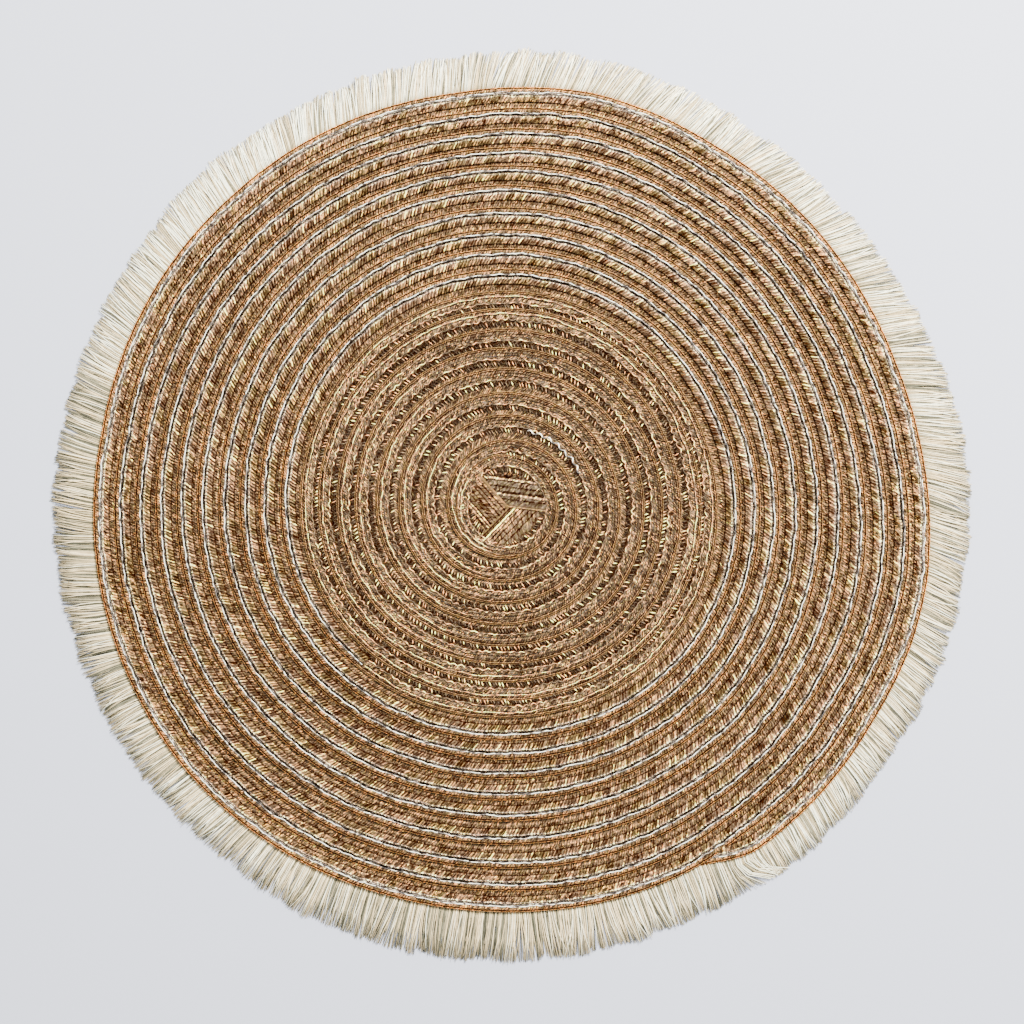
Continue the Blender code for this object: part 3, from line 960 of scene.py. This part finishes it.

# %% [markdown]
# ## The inner tape
# The second tape is browner: a golden selvage, slanting stitches, one cream yarn beside a dark
# one, a row of tan lobes, and a cream yarn that loops like a ladder over a dark ground, whose
# darkness is partly painted shade under the loops. It is made and wound like the first, and goes
# once more round the middle at its full width.

# %% Inner tape
INNER_SECTION = SELVAGE + (
    (1.05, 2.44, 0.2), (1.35, 2.18, 0.2),  # third selvage yarn and dark line
    (1.65, 2.3, 0.4), (3.2, 2.24, 0.8),  # ground of the stitches
    (3.6, 2.16, 1),  # ground of the cream and dark yarns
    (4.4, 2.34, 0.8), (5.3, 2.36, 0.6),  # ground of the lobes
    (6.2, 2.04, 0.4), (6.9, 1.96, 0.2),  # dark ground
    (8.6, 1.62, 0), (9.4, 1.2, 0),  # groove and lap
) + UNDERSIDE
inner_tape, inner_length = make_tape("inner_tape", INNER_SECTION, SPLICE_TURN - 0.004,
                                     INNER_END_TURN, 2.0 * MM, inner_tape_cloth, 61)


# %% [markdown]
# Two yarns of the inner tape swing from side to side, one in scallops and one below the rungs.
# Their path is a formula, so the same function makes their tubes.

# %% Looping yarns of the inner tape
def looping(across_mm, swing_mm, loop_mm, seed):
    """The sideways path of a yarn that loops, as a function of the place along the tape."""
    def across(along):
        loops = along / (loop_mm * MM) + 0.4 * wobble(along, 3.0 * loop_mm * MM, seed)
        arch = np.abs(np.sin(np.pi * loops)) - 0.5
        strength = 0.8 + 0.5 * wobble(along, 4.0 * loop_mm * MM, seed + 1)
        return across_mm + swing_mm * arch * strength + 0.2 * wobble(along, 30.0 * MM, seed + 2)
    return across


scalloped_line = make_running_yarn("scalloped_line", INNER_TURNS, 0.75,
                                   looping(5.10, 0.8, 3.4, 71), 0.28, 2.60, cream_yarn, 191,
                                   tone=(0.25, 1.1))
ground_line = make_running_yarn("ground_line", INNER_TURNS, 0.75, looping(6.60, 0.9, 2.9, 81),
                                0.20, 2.14, brown_yarn, 201, tone=(-0.3, 0.6))


# %% [markdown]
# One loose thread has come up at the upper right of the middle. It could be drawn by hand as a
# curve, but waves along a short arc look the same and are easy to change.

# %% A loose grey and white thread near the middle
# Both ends: degrees round the coil, radius.
LOOSE_FROM, LOOSE_TO = (22.0, 34.8 * MM), (72.0, 32.6 * MM)


def make_loose_thread():
    """A thread that has come up between two turns and lies over them in small waves."""
    angle, radius = np.linspace(LOOSE_FROM, LOOSE_TO, 90).T
    place = np.radians(angle) * radius
    radius = radius + (0.55 * np.sin(place / (0.62 * MM)) + 0.3 * wobble(place, 4.0 * MM, 7)) * MM
    height = (2.72 + 0.12 * np.cos(place / (0.31 * MM))) * MM
    path = on_coil(radius, np.radians(angle), height)
    rings = tube_rings(path, 0.27 * MM, 5).reshape(1, -1, 3)
    item = join_copies("loose_thread", tube_faces(len(path), 5), rings)
    waves = 0.5 + 0.5 * np.repeat(np.sin(place / (0.62 * MM) + 0.8), 5)
    set_uv(item, waves, np.repeat(place, 5))
    return finish_piece(item, white_yarn)


loose_thread = make_loose_thread()

# %% [markdown]
# ## The folded start
# The tape starts in the middle with three folds. Each leaves a panel as wide as the tape, whose
# selvage lies over the panel before it, so the three meet like a rosette. A cloth simulation
# could fold a tape, but hardly into these straight edges. So a panel is a grid with its selvage
# on its own arm, cut along the next arm and round the edge, and thickened.

# %% Panels of the folded start
FOLD_ARMS = (353.0, 131.0, 226.0)
FOLD_HIGH = 2.75 * MM
FOLD_LOW = 2.10 * MM
FOLD_THICKNESS = 0.7 * MM
PANEL_LENGTH = 26.0 * MM
PANEL_WIDTH = 13.2 * MM
PANEL_STEP = 0.55 * MM
PANEL_REACH = 17.2 * MM


def along_angle(angle):
    return np.array([math.cos(math.radians(angle)), math.sin(math.radians(angle))])


def make_fold_panel(number):
    own, following = FOLD_ARMS[number], FOLD_ARMS[(number + 1) % 3]
    name = f"fold_panel_{number + 1}"
    item = unit_grid(name, round(2 * PANEL_LENGTH / PANEL_STEP), round(PANEL_WIDTH / PANEL_STEP))
    points = get_points(item)
    forward = along_angle(own)
    inward = along_angle(own + 90.0)
    along = points[:, 0] * 2.0 * PANEL_LENGTH
    across = (points[:, 1] + 0.5) * PANEL_WIDTH
    flat = np.array(FOLD_POINT) + along[:, None] * forward + across[:, None] * inward
    set_points(item, np.column_stack([flat, np.zeros(len(flat))]))
    set_uv(item, along + number, across)

    set_mode("EDIT")
    cut_side = along_angle(following + 90.0)
    cuts = [(FOLD_POINT, (*cut_side, 0.0))]
    rosette = np.array(FOLD_POINT) + np.array([-1.3 * MM, 0.2 * MM])
    for angle in range(0, 360, 24):
        facing = along_angle(angle)
        cuts.append((rosette + facing * PANEL_REACH, (*facing, 0.0)))
    for centre, normal in cuts:
        bpy.ops.mesh.select_all(action="SELECT")
        bpy.ops.mesh.bisect(plane_co=(*centre, 0.0), plane_no=normal, clear_outer=True)
    set_mode("OBJECT")

    points = get_points(item)
    from_centre = points[:, :2] - np.array(FOLD_POINT)
    across = from_centre @ inward
    beyond = -(from_centre @ cut_side)
    slope = smooth_share(across / (across + np.maximum(beyond, 0.0) + 1e-6))
    out = np.linalg.norm(points[:, :2] - rosette, axis=1) / PANEL_REACH
    height = FOLD_HIGH + (FOLD_LOW - FOLD_HIGH) * slope
    height = height - 0.30 * MM * smooth_share((out - 0.8) / 0.2)
    ridges = np.sin(across / (1.1 * MM) * np.pi) * 0.08 * MM
    points[:, 2] = height + ridges + 0.06 * MM * wobble(points[:, 0] * 3.0 + across, 2.0 * MM, 5)
    set_points(item, points)
    solid = item.modifiers.new("thickness", "SOLIDIFY")
    solid.thickness = FOLD_THICKNESS
    solid.offset = -1.0
    pick(item)
    bpy.ops.object.modifier_apply(modifier="thickness")
    shade_smooth(item)
    item.data.materials.append(folded_cloths[number])
    print(name, "has", count_triangles(item), "triangles")
    return item


fold_panels = [make_fold_panel(number) for number in range(3)]
pick(fold_panels[0])
for panel in fold_panels[1:]:
    panel.select_set(True)
bpy.ops.object.join()
folded_start = bpy.context.object
folded_start.name = "folded_start"
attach(folded_start, "root")

# %% [markdown]
# ## The fringe
# A brush fringe is thousands of cut yarns held side by side in a narrow woven header. One yarn
# is a thin tube of a few segments. Neighbours lean alike and gather in small tufts, so their
# lean comes from smooth wobbles along the rim, and only a little of it is each yarn's own. Hair
# particles could do this, but tubes of real mesh export as they are.

# %% Paths of the fringe yarns
HEADER_INSET = 1.2 * MM
YARN_COUNT = 7600
UPPER_SHARE = 0.16
YARN_RADIUS = 0.235 * MM
YARN_STATIONS = np.array([0.0, 0.3, 0.62, 1.0])
CURLED_TUFT_ANGLE = 304.5
CURLED_TUFT_BEND = 66.0
FLOOR_CLEARANCE = 0.03 * MM
# Round the rim: degrees, how much paler the yarns are painted there, as painted light and shade
# from the one-sided light.
FRINGE_PAINTED_LIGHT = ((0, -0.04), (45, 0.14), (90, 0.05), (130, 0.27), (155, 0.12), (180, -0.17),
               (225, 0.04), (270, -0.09), (315, 0.09), (360, -0.04))


def fringe_paths(draw, layer):
    """The middle lines of all the yarns, as an array of yarn by station by XYZ."""
    angle = (np.arange(YARN_COUNT) + draw.uniform(-0.5, 0.5, YARN_COUNT)) * 360.0 / YARN_COUNT
    round_rim = angle * 3.0 * MM
    root = rim_radius(angle) - HEADER_INSET - 1.0 * MM
    reach = read_table(RIM_AND_FRINGE, angle, 2) * MM
    ragged = draw.beta(1.6, 5.0, YARN_COUNT) * 4.5 * MM
    steps = (round_rim / (21.0 * MM) + 0.3 * wobble(round_rim, 40.0 * MM, 96)) % 1.0
    reach = reach + (0.2 + 1.3 * steps) * MM - ragged
    reach = reach + 0.7 * wobble(round_rim, 2.5 * MM, 91) * MM
    lean = read_table(RIM_AND_FRINGE, angle, 3)
    tuft = 2.5 * wobble(round_rim, 4.0 * MM, 92) + 5.0 * wobble(round_rim, 15.0 * MM, 93)
    upper = layer > 1.0 - UPPER_SHARE
    own = draw.normal(0.0, 1.0, YARN_COUNT) * np.where(upper, 2.2, 1.4)
    bend = draw.normal(0.0, 1.0, YARN_COUNT) * np.where(upper, 5.0, 2.5)
    bend = bend + 5.0 * wobble(round_rim, 7.0 * MM, 94)
    curled = np.exp(-((angle - CURLED_TUFT_ANGLE) / 1.8) ** 2)
    bend = bend - CURLED_TUFT_BEND * curled
    station = YARN_STATIONS[None, :]
    radius = root[:, None] + (reach - root)[:, None] * station
    turned = np.radians((lean + tuft + own)[:, None] + bend[:, None] * (station - 0.4))
    clump = round_rim / (4.6 * MM) + 0.9 * wobble(round_rim, 9.0 * MM, 97)
    off_middle = (clump % 1.0 - 0.5) * 4.6 * MM * (0.16 + 0.12 * wobble(clump // 1.0, 1.0, 98))
    gather = off_middle[:, None] * station ** 1.5
    sideways = np.degrees(((radius - root[:, None]) * np.tan(turned) + gather) / radius)
    place = np.radians(angle[:, None] - sideways)
    low = YARN_RADIUS + FLOOR_CLEARANCE
    start_height = low + (0.35 + 0.45 * layer) * MM
    end_height = low + (0.05 + 0.85 * layer ** 2) * MM
    height = start_height[:, None] + (end_height - start_height)[:, None] * station ** 0.7
    height = height + 0.25 * MM * layer[:, None] * np.sin(np.pi * station)
    return on_coil(radius, place, height)


# %% Material of the fringe
def make_fringe_material():
    """Cream yarns, nearly white at the tips, with painted shade: greyish olive on the lower yarns
    and near the rim.
    """
    nodes = Nodes("fringe_yarn")
    tone, station = nodes.uv_numbers()
    base = nodes.ramp(tone, [(place, cloth_colour(*colour)) for place, colour in (
        (0.0, (156, 155, 138)),
        (0.3, (210, 208, 193)),
        (0.7, (237, 233, 220)),
        (1.0, (250, 247, 237)),
    )])
    # Darker and more olive towards the root: painted shade near the rim.
    reach = nodes.ramp(station, (
        (0.0, (0.80, 0.79, 0.71, 1.0)),
        (0.35, (0.93, 0.92, 0.89, 1.0)),
        (0.8, (0.98, 0.98, 0.97, 1.0)),
        (1.0, (1.0, 1.0, 1.0, 1.0)),
    ))
    base = nodes.blend("MULTIPLY", 1.0, base, reach)
    place = nodes.add("ShaderNodeTexCoord", output=3)
    grain = nodes.noise(place, 700.0, 2.0, 0.7)
    share = nodes.spread(grain, 0.3, 0.7, 0.82, 1.08)
    grey = nodes.add("ShaderNodeCombineXYZ", {0: share, 1: share, 2: share})
    base = nodes.blend("MULTIPLY", 1.0, base, grey)
    return nodes.finish(base, grain, 0.1)


# %% Fringe yarns
def make_fringe_yarns():
    draw = np.random.default_rng(95)
    layer = draw.uniform(0.0, 1.0, YARN_COUNT)
    upper = layer > 1.0 - UPPER_SHARE
    paths = fringe_paths(draw, layer)
    thick = draw.uniform(0.8, 1.1, YARN_COUNT) * np.where(upper, 1.15, 1.0)
    taper = np.array([1.0, 1.0, 0.95, 0.6])
    rings = []
    for path, width in zip(paths, thick):
        rings.append(tube_rings(path, YARN_RADIUS * width * taper, YARN_SIDES))
    copies = np.array(rings).reshape(YARN_COUNT, -1, 3)
    copies[:, :, 2] = np.maximum(copies[:, :, 2], FLOOR_CLEARANCE)
    item = join_copies("fringe_yarns", tube_faces(len(YARN_STATIONS), YARN_SIDES), copies)
    # Lower yarns get darker tones: painted shade under and between the upper yarns.
    own_tone_and_painted_light = np.where(upper, draw.uniform(0.7, 1.0, YARN_COUNT),
                        draw.uniform(0.0, 0.8, YARN_COUNT))
    # Round the rim the tones shift as painted light and shade.
    angle = np.arange(YARN_COUNT) * 360.0 / YARN_COUNT
    own_tone_and_painted_light = np.clip(own_tone_and_painted_light + read_table(FRINGE_PAINTED_LIGHT, angle, 1), 0.0, 1.0)
    tone = np.repeat(own_tone_and_painted_light, copies.shape[1])
    along = np.tile(np.repeat(YARN_STATIONS, YARN_SIDES), YARN_COUNT)
    set_uv(item, tone, along)
    return finish_piece(item, make_fringe_material())


fringe_yarns = make_fringe_yarns()

# %% [markdown]
# ## What the new pieces stand for
# The tapes and what lies on them replace the plain mat, and the yarns replace the plain fringe.

# %% Replace the plain parts
for piece in (outer_tape, inner_tape, folded_start):
    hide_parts("mat")
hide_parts("fringe")
all_triangles = sum(count_triangles(item) for item in bpy.data.objects
                    if item.type == "MESH" and item.visible_get())
print("all shown triangles:", all_triangles)

# %% [markdown]
# ## The stage
# A plain pale floor, one soft window light from the upper right, and a pale sky to fill the
# shadows. The camera looks straight down, as far off as gives a calm, nearly flat view.

# %% Floor, lights and camera
deselect_all()
bpy.ops.mesh.primitive_plane_add(size=3.0, location=(0.0, 0.0, 0.0))
floor = bpy.context.object
floor.name = "floor"
floor_paint = Nodes("floor_paint")
floor_paint.shader.inputs["Base Color"].default_value = cloth_colour(223, 224, 227)
floor_paint.shader.inputs["Roughness"].default_value = 0.7
floor.data.materials.append(floor_paint.material)

PIXEL = 0.418 * MM
PICTURE_PIXELS = 1024
CAMERA_HEIGHT = 1.6
SENSOR = 36.0
camera_data = bpy.data.cameras.new("camera")
camera_data.sensor_width = SENSOR
camera_data.lens = SENSOR * CAMERA_HEIGHT / (PICTURE_PIXELS * PIXEL)
camera = add_object("camera", camera_data)
camera.location = (0.26 * MM, -2.23 * MM, CAMERA_HEIGHT)
bpy.context.scene.camera = camera

WINDOW = (0.45, 0.72, 0.90)
light_data = bpy.data.lights.new("window_light", "AREA")
light_data.size = 0.45
light_data.energy = 108.0
light_data.color = (1.0, 0.985, 0.96)
window_light = add_object("window_light", light_data)
window_light.location = WINDOW
window_light.rotation_euler = (math.atan2(math.hypot(WINDOW[0], WINDOW[1]), WINDOW[2]), 0.0,
                               math.atan2(WINDOW[0], -WINDOW[1]))

world = bpy.data.worlds.new("pale_sky")
world.use_nodes = True
world.node_tree.nodes["Background"].inputs[0].default_value = (0.97, 0.98, 1.0, 1.0)
world.node_tree.nodes["Background"].inputs[1].default_value = 2.2
bpy.context.scene.world = world
print("camera at", tuple(round(value, 4) for value in camera.location))
